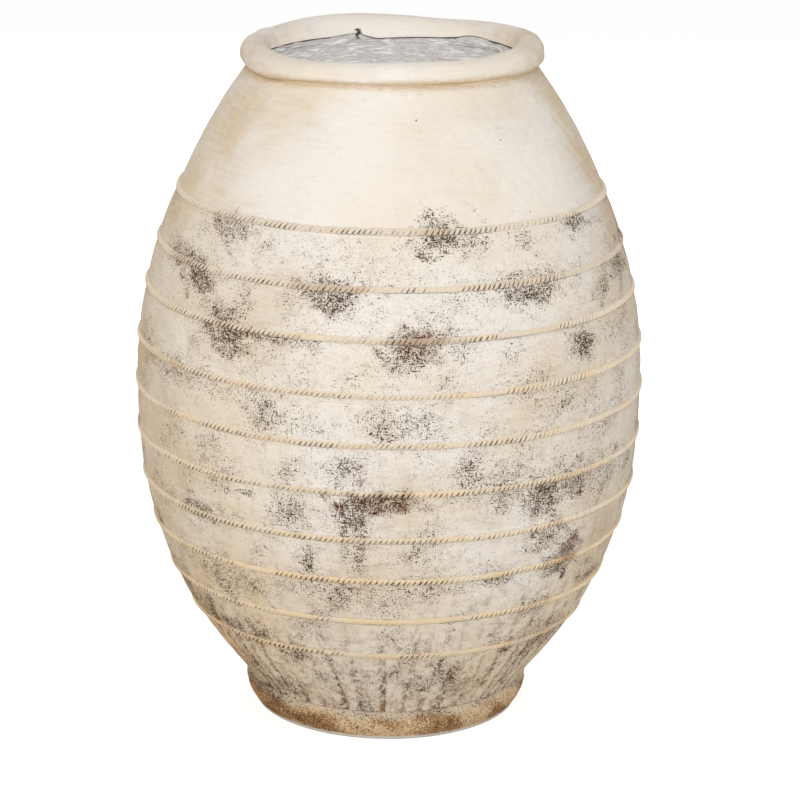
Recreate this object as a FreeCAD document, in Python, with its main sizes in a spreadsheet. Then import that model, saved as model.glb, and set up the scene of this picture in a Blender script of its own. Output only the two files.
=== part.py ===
# Greek pithos: a large hand-built storage jar of fired clay.
# The wall rises from a thick base slab in ring-shaped courses. Each joint between two courses has
# a bevelled edge, and lies at the foot of a rope cordon that was pressed on over it. A round roll
# of clay closes the mouth. The jar stands upright, its axis is Z and the ground is Z = 0.
import FreeCAD, Part
import math
import os
import Sketcher

# Driving sizes in millimetres, apart from the two fullness values, which are plain powers
SIZES = {
    "slab_height": (35.5, "thickness of the base slab"),
    "slab_ledge": (2.5, "how far the slab's top edge stands out from under the wall"),
    "slab_bulge": (2.0, "how far its rounded edge swells past the top edge"),
    "slab_bulge_drop": (11.5, "depth of the swelling below the slab's top"),
    "slab_undercut": (11.5, "how far the edge draws in from the swelling to the ground"),
    "standing_ring": (27.0, "width of the ring that stands on the ground"),
    "hollow_depth": (7.0, "depth of the hollow underside inside that ring"),
    "wall_foot_radius": (158.0, "outside of the wall where it stands on the slab"),
    "belly_radius": (285.0, "outside of the wall at its widest"),
    "belly_height": (384.0, "height of the widest place"),
    "neck_radius": (158.5, "outside of the wall under the rim"),
    "lower_fullness": (2.4, "power of the curve from the belly down to the slab"),
    "upper_fullness": (2.03, "power of the curve from the belly up to the neck"),
    "wall_at_foot": (26.0, "wall, measured level, where it stands on the slab"),
    "wall_at_belly": (16.0, "wall at the belly"),
    "wall_at_neck": (17.0, "wall, measured level, under the rim"),
    "joint_bevel": (5.0, "how much higher a course's top edge is inside than outside"),
    "rise_01": (87.6, "slab to the foot of the first cordon"),
    "rise_02": (49.0, "first cordon to the second, foot to foot, and so on upwards"),
    "rise_03": (52.6, "second to third"),
    "rise_04": (50.4, "third to fourth"),
    "rise_05": (53.8, "fourth to fifth"),
    "rise_06": (53.9, "fifth to sixth"),
    "rise_07": (53.4, "sixth to seventh"),
    "rise_08": (58.7, "seventh to eighth"),
    "rise_09": (51.3, "eighth to ninth"),
    "rise_10": (57.3, "ninth to tenth"),
    "neck_rise": (142.5, "foot of the tenth cordon to the neck"),
    "cordon_height": (7.5, "height of a rope cordon on the wall"),
    "cordon_proud": (3.5, "how far its crest stands out of the wall"),
    "roll_radius": (17.0, "section of the rim roll"),
    "roll_outset": (2.0, "how far the roll's middle lies outside the wall's middle"),
}
CORDONS = 10
CORDONS_PER_COURSE = 2
COURSES = CORDONS // CORDONS_PER_COURSE
NECK = CORDONS + 1
# Shares of the shoulder's height where its outline bends
SHOULDER_SHARES = (0.36, 0.68)
# The rim roll's section: corners at equal steps round a circle, open at the flat seat below
ROLL_CORNERS = 8
ROLL_SEAT_ANGLE = 80

document = FreeCAD.newDocument("pithos")
sheet = document.addObject("Spreadsheet::Sheet", "sizes")
for row, (alias, (value, meaning)) in enumerate(SIZES.items(), start=1):
    sheet.set(f"A{row}", meaning)
    sheet.set(f"B{row}", str(value))
    sheet.setAlias(f"B{row}", alias)
document.recompute()


def size(alias):
    """The expression for one driving size."""
    return f"sizes.{alias}"


def level_height(level):
    """Height of a level: 0 is the slab's top, 1 to 10 the feet of the cordons, 11 the neck."""
    rises = [size(f"rise_{step:02d}") for step in range(1, min(level, CORDONS) + 1)]
    if level == NECK:
        rises.append(size("neck_rise"))
    return " + ".join([size("slab_height")] + rises)


def curve_share(height):
    """How far a height lies from the belly towards the slab or the neck: 0 at the belly, 1 there."""
    reach = f"({size('belly_height')} - {size('slab_height')})"
    if value_of(height) > value_of(size("belly_height")):
        reach = f"({level_height(NECK)} - {size('belly_height')})"
    return f"abs({height} - {size('belly_height')}) / {reach}"


def wall_radius(height):
    """Outside of the wall: it falls away from the belly by a power of the distance."""
    end, power = size("wall_foot_radius"), size("lower_fullness")
    if value_of(height) > value_of(size("belly_height")):
        end, power = size("neck_radius"), size("upper_fullness")
    belly = size("belly_radius")
    return f"{belly} - ({belly} - {end}) * ({curve_share(height)}) ^ {power}"


def inner_radius(height):
    """Inside of the wall, which is thicker towards the slab and the neck than at the belly."""
    end = size("wall_at_foot")
    if value_of(height) > value_of(size("belly_height")):
        end = size("wall_at_neck")
    belly = size("wall_at_belly")
    return f"{wall_radius(height)} - {belly} - ({end} - {belly}) * {curve_share(height)}"


def value_of(expression):
    """The number that an expression on the sheet has now."""
    return float(sheet.evalExpression(expression))


def origin_plane(body, role):
    return next(plane for plane in body.Origin.OriginFeatures if plane.Role == role)


def draw_outline(sketch, corners):
    """A closed outline of straight sides whose corners are bound to (radius, height) expressions."""
    points = [FreeCAD.Vector(value_of(radius), value_of(height), 0) for radius, height in corners]
    count = len(points)
    for index in range(count):
        sketch.addGeometry(Part.LineSegment(points[index], points[(index + 1) % count]), False)
    for index in range(count):
        sketch.addConstraint(
            Sketcher.Constraint("Coincident", index, 2, (index + 1) % count, 1)
        )
    for index, (radius, height) in enumerate(corners):
        bind_corner(sketch, index, "DistanceX", f"radius_{index}", radius)
        bind_corner(sketch, index, "DistanceY", f"height_{index}", height)


def bind_corner(sketch, index, kind, name, expression):
    """Ties one coordinate of a corner to its expression, or to the axis where it is zero."""
    if expression == "0":
        axis = -2 if kind == "DistanceX" else -1
        sketch.addConstraint(Sketcher.Constraint("PointOnObject", index, 1, axis))
        return
    number = sketch.addConstraint(
        Sketcher.Constraint(kind, -1, 1, index, 1, value_of(expression))
    )
    sketch.renameConstraint(number, name)
    sketch.setExpression(f"Constraints.{name}", expression)


def turned_piece(label, corners):
    """A piece of clay turned about the jar's axis from a closed outline."""
    body = document.addObject("PartDesign::Body", label)
    body.Label = label
    sketch = body.newObject("Sketcher::SketchObject", f"{label}_section")
    sketch.AttachmentSupport = [(origin_plane(body, "XZ_Plane"), "")]
    sketch.MapMode = "FlatFace"
    draw_outline(sketch, corners)
    revolution = body.newObject("PartDesign::Revolution", f"{label}_turned")
    revolution.Profile = sketch
    revolution.ReferenceAxis = (sketch, ["V_Axis"])
    revolution.Angle = 360
    return body


def outline_between(low, high):
    """Outer corners of the wall from one level up to another."""
    return [(wall_radius(level_height(level)), level_height(level)) for level in range(low, high + 1)]


def inner_corner(level):
    """Inner end of a joint, raised above its outer end by the bevel except at slab and neck."""
    height = level_height(level)
    bevel = f" + {size('joint_bevel')}" if 0 < level < NECK else ""
    return inner_radius(height), height + bevel


def base_slab():
    """The first piece: a thick disc with a rounded edge and a slightly hollow underside."""
    top_radius = f"{size('wall_foot_radius')} + {size('slab_ledge')}"
    widest_radius = f"{top_radius} + {size('slab_bulge')}"
    ground_radius = f"{widest_radius} - {size('slab_undercut')}"
    hollow_radius = f"{ground_radius} - {size('standing_ring')}"
    return turned_piece("base_slab", [
        (hollow_radius, "0"),
        (ground_radius, "0"),
        (widest_radius, f"{size('slab_height')} - {size('slab_bulge_drop')}"),
        (top_radius, size("slab_height")),
        ("0", size("slab_height")),
        ("0", size("hollow_depth")),
        (hollow_radius, size("hollow_depth")),
    ])


def wall_course(number):
    """One ring of the wall, numbered from the slab up, from one bevelled joint to the next."""
    high = number * CORDONS_PER_COURSE
    low = high - CORDONS_PER_COURSE
    outline = outline_between(low, high) + [inner_corner(high), inner_corner(low)]
    return turned_piece(f"wall_course_{number}", outline)


def shoulder_heights():
    """Heights where the shoulder's outline bends, between the top cordon and the neck."""
    foot = level_height(CORDONS)
    return [f"{foot} + {size('neck_rise')} * {share}" for share in SHOULDER_SHARES]


def shoulder_course():
    """The plain course above the top cordon, drawn in to the neck."""
    corners = [(wall_radius(level_height(CORDONS)), level_height(CORDONS))]
    corners += [(wall_radius(height), height) for height in shoulder_heights()]
    corners.append((wall_radius(level_height(NECK)), level_height(NECK)))
    corners.append(inner_corner(NECK))
    corners += [(inner_radius(height), height) for height in reversed(shoulder_heights()[-1:])]
    corners.append(inner_corner(CORDONS))
    return turned_piece("shoulder_course", corners)


def rim_roll():
    """The round roll of the mouth, flat below where it sits on the wall's top edge."""
    middle = f"{size('neck_radius')} - {size('wall_at_neck')} / 2 + {size('roll_outset')}"
    start = math.radians(ROLL_SEAT_ANGLE / 2 - 90)
    step = math.radians((360 - ROLL_SEAT_ANGLE) / (ROLL_CORNERS - 1))
    seat_drop_share = math.sin(start)
    corners = []
    for corner in range(ROLL_CORNERS):
        angle = start + step * corner
        out_share = math.cos(angle)
        up_share = math.sin(angle) - seat_drop_share
        corners.append((
            f"{middle} + {size('roll_radius')} * ({out_share})",
            f"{level_height(NECK)} + {size('roll_radius')} * ({up_share})",
        ))
    return turned_piece("rim_roll", corners)


def rope_cordon(number):
    """A cordon: a ridge whose back lies on the straight wall above its foot."""
    foot = level_height(number)
    next_bend = level_height(number + 1) if number < CORDONS else shoulder_heights()[0]
    slope = f"(({wall_radius(next_bend)}) - ({wall_radius(foot)})) / (({next_bend}) - ({foot}))"
    height = size("cordon_height")
    return turned_piece(f"rope_cordon_{number:02d}", [
        (wall_radius(foot), foot),
        (f"{wall_radius(foot)} + {slope} * {height} / 2 + {size('cordon_proud')}", f"{foot} + {height} / 2"),
        (f"{wall_radius(foot)} + {slope} * {height}", f"{foot} + {height}"),
    ])


pieces = [base_slab()]
pieces += [wall_course(number) for number in range(1, COURSES + 1)]
pieces += [shoulder_course(), rim_roll()]
pieces += [rope_cordon(number) for number in range(1, CORDONS + 1)]
document.recompute()

for item in document.Objects:
    if {"Invalid", "Error"} & set(item.State):
        raise RuntimeError(f"{item.Label} failed: {item.State}")
for piece in pieces:
    if piece.Shape.isNull() or not piece.Shape.isValid():
        raise RuntimeError(f"{piece.Label} has no valid solid")

os.makedirs("parts", exist_ok=True)
for piece in pieces:
    piece.Shape.exportStep(f"parts/{piece.Label}.step")
    box = piece.Shape.BoundBox
    print(f"{piece.Label}: {piece.Shape.Volume / 1e6:.3f} litres, "
          f"{box.ZMin:.1f} to {box.ZMax:.1f} high, {box.XLength:.1f} across")
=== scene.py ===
# %% [markdown]
# # A hand-built storage jar
#
# A pithos as tall as a child's chest can't be thrown in one go. It is raised from a slab in rings of clay,
# and each joint is covered by a strip that is pressed into the look of a rope. This lesson builds such a
# jar the same way: every piece is an outline turned round the jar's axis, and hands, cloth and lime wash
# are then added to it. The imported solids give the wall's heights and radii. What they don't hold, such as
# the stains, the colours and the rim's waves, was judged from the photograph.

import math

import bmesh
import bpy
import numpy as np
from mathutils import Euler, Matrix, Vector


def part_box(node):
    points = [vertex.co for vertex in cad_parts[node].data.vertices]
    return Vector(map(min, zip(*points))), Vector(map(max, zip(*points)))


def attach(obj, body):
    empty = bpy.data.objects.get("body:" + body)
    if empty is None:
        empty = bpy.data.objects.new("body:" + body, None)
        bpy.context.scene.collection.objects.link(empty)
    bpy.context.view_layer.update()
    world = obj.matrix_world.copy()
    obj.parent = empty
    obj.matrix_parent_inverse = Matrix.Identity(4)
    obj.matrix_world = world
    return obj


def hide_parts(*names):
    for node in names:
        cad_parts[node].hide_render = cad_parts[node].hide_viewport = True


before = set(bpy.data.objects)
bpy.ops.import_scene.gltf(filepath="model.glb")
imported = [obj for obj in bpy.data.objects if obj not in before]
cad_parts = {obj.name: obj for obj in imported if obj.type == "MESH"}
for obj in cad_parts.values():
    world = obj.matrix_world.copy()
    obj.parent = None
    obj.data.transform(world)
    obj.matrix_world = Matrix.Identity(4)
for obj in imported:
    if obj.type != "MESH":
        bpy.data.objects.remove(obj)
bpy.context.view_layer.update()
MILLIMETRE = 0.001

# %% [markdown]
# ## The camera
#
# The camera comes first, because some stains are placed where the photograph shows them. Its values were
# fitted to the jar's outline and cordons: a long lens, well back, looking down a little. A long lens hardly
# narrows the foot, which is why the jar looks so upright.

# %% Make the camera
PHOTO_SIDE = 800
SENSOR_WIDTH = 36.0
FOCAL_PIXELS = 3153.3
CAMERA_DISTANCE = 3.454
CAMERA_HEIGHT = 1.3763
LOOKS_DOWN = math.radians(16.484)
CAMERA_ROLL = math.radians(0.645)
VIEW_CENTRE_X = 388.74

camera_data = bpy.data.cameras.new("photograph_camera")
camera_data.sensor_width = SENSOR_WIDTH
camera_data.lens = SENSOR_WIDTH * FOCAL_PIXELS / PHOTO_SIDE
camera_data.shift_x = 0.5 - VIEW_CENTRE_X / PHOTO_SIDE
camera = bpy.data.objects.new("photograph_camera", camera_data)
camera.location = (0, -CAMERA_DISTANCE, CAMERA_HEIGHT)
camera.rotation_mode = "QUATERNION"
tilt = Euler((math.pi / 2 - LOOKS_DOWN, 0, 0)).to_quaternion()
camera.rotation_quaternion = tilt @ Euler((0, 0, CAMERA_ROLL)).to_quaternion()
bpy.context.scene.collection.objects.link(camera)
bpy.context.scene.camera = camera
print("Lens", round(camera_data.lens, 1), "mm on a", SENSOR_WIDTH, "mm sensor")

# %% [markdown]
# ## The wall's curve
#
# The solids are cones from cordon to cordon. On the real jar the wall bellies out a little between two
# cordons, because each ring was pressed from inside. So the outline here is a smooth curve through the
# solids' corners, and each zone between two cordons swells by about a millimetre.

# %% Read the levels of the wall from the solids
CORDONS = [f"rope_cordon_{number:02d}" for number in range(1, 11)]
COURSES = [f"wall_course_{number}" for number in range(1, 6)]
SHOULDER_BEND_SHARES = (0.36, 0.68)
SAME_HEIGHT = 0.2 * MILLIMETRE


def ring_radii(node, height):
    """Smallest and largest radius at which a solid has corners at this height."""
    corners = np.array([corner.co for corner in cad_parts[node].data.vertices])
    ring = corners[np.abs(corners[:, 2] - height) < SAME_HEIGHT]
    radii = np.hypot(ring[:, 0], ring[:, 1])
    return radii.min(), radii.max()


slab_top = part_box("wall_course_1")[0].z
cordon_feet = [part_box(cordon)[0].z for cordon in CORDONS]
cordon_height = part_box(CORDONS[0])[1].z - cordon_feet[0]
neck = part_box("rim_roll")[0].z
levels = [slab_top] + cordon_feet + [neck]
joint_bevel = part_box("wall_course_1")[1].z - cordon_feet[1]
shoulder_bends = [cordon_feet[-1] + share * (neck - cordon_feet[-1]) for share in SHOULDER_BEND_SHARES]
print("Cordons at", [round(foot, 3) for foot in cordon_feet], "and the neck at", round(neck, 3))

# %% Make smooth curves through the solids' corners
ZONE_SWELL = 1.1 * MILLIMETRE


def smooth_curve(heights, radii):
    """A curve of radius against height through all the corners: cubic pieces that share their slopes."""
    heights, radii = np.array(heights), np.array(radii)
    slopes = np.gradient(radii, heights)

    def curve(height):
        piece = np.clip(np.searchsorted(heights, height) - 1, 0, len(heights) - 2)
        length = heights[piece + 1] - heights[piece]
        t = np.clip((height - heights[piece]) / length, 0, 1)
        near, far = radii[piece], radii[piece + 1]
        bend = (1 - t) * slopes[piece] * length - t * slopes[piece + 1] * length + (2 * t - 1) * (far - near)
        return near + (far - near) * t + t * (1 - t) * bend

    return curve


outer_corners = [(slab_top, ring_radii("wall_course_1", slab_top)[1])]
for number, foot in enumerate(cordon_feet):
    node = (COURSES + ["shoulder_course"])[(number + 1) // 2]
    outer_corners.append((foot, ring_radii(node, foot)[1]))
outer_corners += [(bend, ring_radii("shoulder_course", bend)[1]) for bend in shoulder_bends]
outer_corners.append((neck, ring_radii("shoulder_course", neck)[1]))
inner_corners = [(slab_top, ring_radii("wall_course_1", slab_top)[0])]
for course in COURSES:
    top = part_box(course)[1].z
    inner_corners.append((top, ring_radii(course, top)[0]))
inner_corners.append((shoulder_bends[-1], ring_radii("shoulder_course", shoulder_bends[-1])[0]))
inner_corners.append((neck, ring_radii("shoulder_course", neck)[0]))
corner_curve = smooth_curve(*zip(*outer_corners))
inner_wall = smooth_curve(*zip(*inner_corners))


def zone_share(height):
    """How far up its zone a height lies: 0 at the level below it, 1 at the level above it."""
    zone = np.clip(np.searchsorted(levels, height, side="right") - 1, 0, len(levels) - 2)
    low, high = np.array(levels)[zone], np.array(levels)[zone + 1]
    return np.clip((height - low) / (high - low), 0, 1)


def outer_wall(height):
    """Outside radius of the wall at a height."""
    share = zone_share(height)
    return corner_curve(height) + ZONE_SWELL * 4 * share * (1 - share)


print("The belly is", round(2 * float(outer_wall(levels[6])), 3), "across at the sixth cordon")

# %% [markdown]
# ## Hands on the clay
#
# Nothing turned by a computer looks hand-made until it is pushed about. Sums of waves that close round the
# jar do that cheaply: long ones make the jar a little out of round, shorter ones are dents of palms. All
# pieces use the same sum, so neighbours stay together.

# %% Make waves that close round the jar
def waves(azimuth, height, seed, turns, rises, count=10):
    """A sum of waves of about unit size. turns and rises are ranges: waves a turn and waves a metre."""
    dice = np.random.default_rng(seed)
    total = np.zeros(np.broadcast(azimuth, height).shape)
    for _ in range(count):
        turn = dice.integers(turns[0], turns[1] + 1) * dice.choice((-1, 1))
        rise = dice.uniform(*rises) * 2 * math.pi
        total += np.cos(turn * azimuth + rise * height + dice.uniform(0, 2 * math.pi))
    return total / math.sqrt(count / 2)


def between(value, low, high):
    """A smooth step from 0 at low to 1 at high."""
    share = np.clip((value - low) / (high - low), 0, 1)
    return share * share * (3 - 2 * share)


OVAL = 1.2 * MILLIMETRE
PALM_DENTS = 0.45 * MILLIMETRE


def hand_push(azimuth, height):
    """How far the whole wall is pushed by hand at a place: mostly in, and in a few places slightly out."""
    oval = -OVAL * (1 - np.cos(2 * azimuth)) / 2
    dents = waves(azimuth, height, seed=11, turns=(3, 13), rises=(0.5, 9), count=16)
    return oval - PALM_DENTS * (1.5 - dents) / 1.5


belly_pushes = hand_push(np.linspace(-math.pi, math.pi, 720), levels[6]) / MILLIMETRE
inmost, outmost = round(belly_pushes.min(), 2), round(belly_pushes.max(), 2)
print("Round the belly the pushes go from", inmost, "to", outmost, "mm")

# %% [markdown]
# ## Turning an outline
#
# Blender's spin operator does what a potter's wheel does: it carries a line of points round an axis and
# leaves faces behind it. A whole turn in one go is slow, so an eighth is spun, and turned copies of it
# close the round. Afterwards every point knows its azimuth and height, so the moves by hand are plain sums.

# %% Turn an outline into a mesh and move its points
SECTORS = 8
WELD = 0.01 * MILLIMETRE


def turned_mesh(outline, steps):
    """Turns a closed outline of (radius, height) points: one sector is spun, and copies close the round."""
    mesh = bmesh.new()
    corners = [mesh.verts.new((radius, 0, height)) for radius, height in outline]
    edges = [mesh.edges.new((corners[index - 1], corners[index])) for index in range(len(corners))]
    sector = 2 * math.pi / SECTORS
    bmesh.ops.spin(
        mesh, geom=corners + edges, cent=(0, 0, 0), axis=(0, 0, 1), dvec=(0, 0, 0),
        angle=sector, steps=steps // SECTORS, use_merge=False,
    )
    while sector < 1.9 * math.pi:
        copy = bmesh.ops.duplicate(mesh, geom=mesh.verts[:] + mesh.edges[:] + mesh.faces[:])["geom"]
        points = [item for item in copy if isinstance(item, bmesh.types.BMVert)]
        bmesh.ops.rotate(mesh, cent=(0, 0, 0), matrix=Matrix.Rotation(sector, 3, "Z"), verts=points)
        sector *= 2
    bmesh.ops.remove_doubles(mesh, verts=mesh.verts, dist=WELD)
    loose = [edge for edge in mesh.edges if not edge.link_faces]
    bmesh.ops.delete(mesh, geom=loose, context="EDGES")
    bmesh.ops.recalc_face_normals(mesh, faces=mesh.faces)
    return mesh


def piece_from(mesh, name, move):
    """Moves the mesh's points by a function of azimuth, radius and height, and makes it an object."""
    data = bpy.data.meshes.new(name)
    mesh.to_mesh(data)
    mesh.free()
    points = np.empty(len(data.vertices) * 3)
    data.vertices.foreach_get("co", points)
    points = points.reshape(-1, 3)
    azimuth, radius, height = np.arctan2(points[:, 1], points[:, 0]), np.hypot(*points[:, :2].T), points[:, 2]
    turn, reach, rise = move(azimuth, radius, height)
    moved = np.column_stack((reach * np.cos(turn), reach * np.sin(turn), rise))
    data.vertices.foreach_set("co", moved.ravel())
    data.polygons.foreach_set("use_smooth", np.ones(len(data.polygons), dtype=bool))
    data.update()
    piece = bpy.data.objects.new(name, data)
    bpy.context.scene.collection.objects.link(piece)
    return piece, azimuth, radius, height


def keep_values(piece, name, values):
    """Stores one number for each point of a piece, for its material to read."""
    attribute = piece.data.attributes.new(name, "FLOAT", "POINT")
    attribute.data.foreach_set("value", np.asarray(values, dtype=np.float32))


def hand_in(piece, node, material):
    """Gives a finished piece its material, hangs it under the root body and hides the imported solid of that
    node.
    """
    piece.data.materials.append(material)
    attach(piece, "root")
    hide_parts(node)
    print(piece.name, "has", sum(len(face.vertices) - 2 for face in piece.data.polygons), "triangles")


# %% [markdown]
# ## Where the stains are
#
# Dark stain was probably rubbed over the clay and wiped off again. It lies in smudges, among marks like those
# of cloth. The ones that the photograph shows are listed as boxes in its pixels: left, right, top, bottom,
# then how dark they are and how brown, all judged. A ray from the camera through a pixel gives its
# place on the wall.

# %% Find the place on the wall of a pixel in the photograph
RAY_STEP = 0.25 * MILLIMETRE
RAY_REACH = 0.6


def wall_place(x, y):
    """Azimuth and height of the wall where the photograph shows this pixel."""
    aim = Vector(((x - VIEW_CENTRE_X) / FOCAL_PIXELS, (PHOTO_SIDE / 2 - y) / FOCAL_PIXELS, -1))
    aim = camera.rotation_quaternion @ aim
    along = np.arange(CAMERA_DISTANCE - RAY_REACH, CAMERA_DISTANCE + RAY_REACH, RAY_STEP)
    points = np.array(camera.location) + along[:, None] * np.array(aim)
    gap = np.hypot(points[:, 0], points[:, 1]) - outer_wall(points[:, 2])
    inside = np.flatnonzero(gap <= 0)
    hit = points[inside[0]] if len(inside) else points[np.argmin(gap)]
    return math.atan2(hit[1], hit[0]), hit[2]


front_azimuth, front_height = wall_place(VIEW_CENTRE_X, PHOTO_SIDE / 2)
print("The picture's centre shows", round(math.degrees(front_azimuth), 1), round(front_height, 3))

# %% List the smudges that the photograph shows
SMUDGES = {
    "under_top_cordon_left": (209, 252, 212, 242, 0.8, 0.7),
    "left_lobe_upper": (170, 204, 241, 268, 0.85, 0.5),
    "left_lobe_lower": (184, 216, 262, 294, 0.95, 0.4),
    "ninth_cordon_long": (286, 370, 277, 300, 0.75, 0.6),
    "ninth_cordon_core": (312, 354, 294, 317, 1.0, 0.5),
    "left_of_eighth_top": (210, 240, 303, 330, 0.8, 0.3),
    "left_of_eighth_core": (206, 249, 326, 358, 0.9, 0.5),
    "eighth_cordon_notches": (234, 299, 333, 343, 0.75, 0.2),
    "left_edge_under_eighth": (145, 202, 355, 385, 0.65, 0.6),
    "under_seventh_left": (249, 281, 399, 430, 0.6, 0.3),
    "faint_under_eighth": (266, 309, 359, 394, 0.3, 0.2),
    "sprinkle_under_tenth": (249, 400, 237, 262, 0.32, 0.0),
    "tenth_cordon_front": (418, 454, 213, 256, 1.0, 0.3),
    "tenth_cordon_trail": (450, 495, 226, 252, 0.6, 0.2),
    "tenth_cordon_small": (513, 534, 229, 251, 0.6, 0.4),
    "tenth_cordon_right": (562, 586, 211, 231, 1.0, 0.2),
    "tenth_cordon_right_trail": (585, 607, 212, 226, 0.5, 0.3),
    "above_ninth_right": (489, 567, 268, 286, 0.65, 0.5),
    "under_ninth_right": (500, 562, 284, 304, 0.9, 0.2),
    "right_edge_upper": (611, 628, 248, 282, 0.75, 0.4),
    "right_small": (599, 610, 272, 298, 0.6, 0.3),
    "eighth_cordon_left_half": (385, 420, 345, 370, 0.6, 0.3),
    "eighth_cordon_front": (392, 450, 325, 364, 0.85, 0.9),
    "eighth_right": (572, 594, 329, 358, 1.0, 0.2),
    "faint_right": (599, 634, 313, 343, 0.35, 0.2),
    "faint_under_eighth_right": (495, 520, 351, 368, 0.3, 0.1),
    "seventh_cordon_right": (530, 580, 376, 411, 0.5, 0.4),
    "seventh_right_edge": (593, 626, 396, 421, 0.5, 0.3),
    "under_seventh_front": (356, 450, 406, 446, 0.6, 0.35),
    "under_sixth_left": (191, 224, 437, 471, 0.6, 0.5),
    "under_sixth_middle": (316, 363, 455, 492, 0.5, 0.3),
    "under_sixth_right": (450, 526, 453, 485, 0.45, 0.1),
    "fifth_cordon_right": (532, 625, 468, 499, 0.7, 0.4),
    "above_fifth_right": (540, 620, 453, 478, 0.4, 0.4),
    "fifth_cordon_brown": (350, 417, 495, 516, 1.0, 1.0),
    "under_fifth_left": (272, 306, 492, 530, 0.8, 0.4),
    "streak_left_of_pair": (340, 349, 505, 574, 0.7, 0.2),
    "streak_right_of_pair": (352, 365, 501, 574, 0.75, 0.4),
    "under_fifth_right": (535, 555, 486, 522, 0.75, 0.1),
    "fourth_left_notches": (179, 216, 499, 517, 0.9, 0.1),
    "fifth_short_lines": (231, 252, 489, 495, 0.9, 0.0),
    "fourth_dots": (530, 540, 530, 538, 1.0, 0.0),
    "brown_drip": (562, 577, 535, 564, 0.95, 1.0),
    "brown_drip_tail": (548, 566, 560, 574, 0.8, 0.6),
    "grey_by_the_drip": (539, 560, 528, 553, 0.6, 0.0),
    "thin_streak": (519, 530, 544, 558, 0.6, 0.0),
    "under_fourth_front": (412, 451, 544, 565, 0.5, 0.4),
    "drip_left": (306, 313, 550, 575, 0.7, 0.2),
    "grey_brush_left": (209, 256, 563, 596, 0.55, 0.0),
    "under_third_front": (286, 451, 581, 606, 0.6, 0.4),
    "under_third_right": (478, 514, 576, 586, 0.7, 0.1),
    "third_cordon_dashes": (519, 548, 596, 617, 0.8, 0.5),
    "second_cordon_left": (297, 325, 615, 637, 0.75, 0.4),
    "dot_right": (586, 594, 568, 576, 1.0, 0.2),
    "first_cordon_right": (535, 559, 621, 639, 0.7, 0.7),
    "first_cordon_crack": (220, 256, 619, 640, 0.9, 0.2),
    "second_cordon_front": (400, 434, 639, 662, 0.4, 0.5),
    "first_cordon_left": (290, 324, 650, 662, 0.6, 0.3),
    "above_foot_left": (228, 296, 655, 700, 0.62, 0.8),
    "above_foot_middle": (328, 418, 668, 702, 0.36, 0.6),
    "above_foot_streaks": (430, 462, 659, 685, 0.6, 0.1),
    "above_foot_right": (470, 530, 655, 690, 0.4, 0.2),
    "left_edge_low_1": (150, 162, 500, 522, 0.6, 0.3),
    "left_edge_low_2": (170, 182, 552, 572, 0.7, 0.4),
    "left_edge_low_3": (192, 204, 590, 606, 0.8, 0.5),
}
SMEARED = 1.12
placed_smudges = []
for left, right, top, bottom, dark, brown in SMUDGES.values():
    azimuth, height = wall_place((left + right) / 2, (top + bottom) / 2)
    half_turn = abs(wall_place(right, (top + bottom) / 2)[0] - wall_place(left, (top + bottom) / 2)[0]) / 2
    half_rise = abs(wall_place((left + right) / 2, top)[1] - wall_place((left + right) / 2, bottom)[1]) / 2
    half_width = SMEARED * half_turn * outer_wall(height)
    placed_smudges.append((azimuth, height, half_width, half_rise, dark, brown))
print(len(placed_smudges), "smudges are placed on the side that the photograph shows")

# %% Scatter smudges of the same kind over the sides that it doesn't show
UNSEEN_FROM, UNSEEN_TO = math.radians(-8), math.radians(188)
UNSEEN_SMUDGES = 64
# Metres: mean and spread of a smudge's place above its cordon, then the ranges of its half sizes
OFF_CORDON = (-0.004, 0.014)
HALF_WIDTHS = (0.012, 0.036)
HALF_RISES = (0.010, 0.022)
dice = np.random.default_rng(23)
for _ in range(UNSEEN_SMUDGES):
    azimuth = dice.uniform(UNSEEN_FROM, UNSEEN_TO)
    level = dice.integers(1, len(levels) - 1)
    height = levels[level] + dice.normal(*OFF_CORDON)
    half_width = dice.uniform(*HALF_WIDTHS)
    half_rise = min(dice.uniform(*HALF_RISES), half_width)
    dark, brown = dice.uniform(0.4, 1.0), dice.uniform(0, 0.8)
    placed_smudges.append((azimuth, height, half_width, half_rise, dark, brown))
print(len(placed_smudges), "smudges in all")

# %% Say how stained a place on the wall is
# How dark the wall is between the smudges, at each level from the slab up to the neck
BASE_STAIN_LEVELS = (0.52, 0.48, 0.42, 0.42, 0.42, 0.42, 0.40, 0.38, 0.36, 0.34, 0.05, 0.0)
# A smudge's middle is flat: its bell curve is lifted by the gain and cut off at the top
SMUDGE_GAIN, SMUDGE_TOP = 1.12, 0.7


def stain_at(azimuth, height):
    """How dark and how brown the stain is at places on the wall, each from 0 to 1."""
    clouds = waves(azimuth, height, seed=17, turns=(4, 34), rises=(2, 22), count=30)
    ragged = waves(azimuth, height, seed=18, turns=(14, 70), rises=(10, 50), count=30)
    bare = 1 - np.interp(height, levels, BASE_STAIN_LEVELS) * between(clouds * 0.8 + ragged * 0.15, -0.9, 1.7)
    brown = np.zeros_like(height)
    for centre, level, half_width, half_rise, strength, warmth in placed_smudges:
        turn = (azimuth - centre + math.pi) % (2 * math.pi) - math.pi
        reach = (turn * outer_wall(level) / half_width) ** 2 + ((height - level) / half_rise) ** 2
        tail = np.exp(-((reach * np.clip(1 + 0.25 * ragged, 0.3, 2)) ** 0.8))
        here = strength * np.minimum(SMUDGE_GAIN * tail, SMUDGE_TOP)
        bare *= 1 - here
        brown = np.maximum(brown, here * warmth)
    return 1 - bare, brown


front_stain = stain_at(np.array([front_azimuth]), np.array([front_height]))[0][0]
print("At the picture's centre the stain is", round(front_stain, 2), "of the darkest")

# %% [markdown]
# ## Shader sums
#
# A material is easier to read as arithmetic than as boxes and wires. This class wraps the output of a node:
# a sum or product of two wrapped outputs adds the Math node for it, and one method adds any other node.

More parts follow.
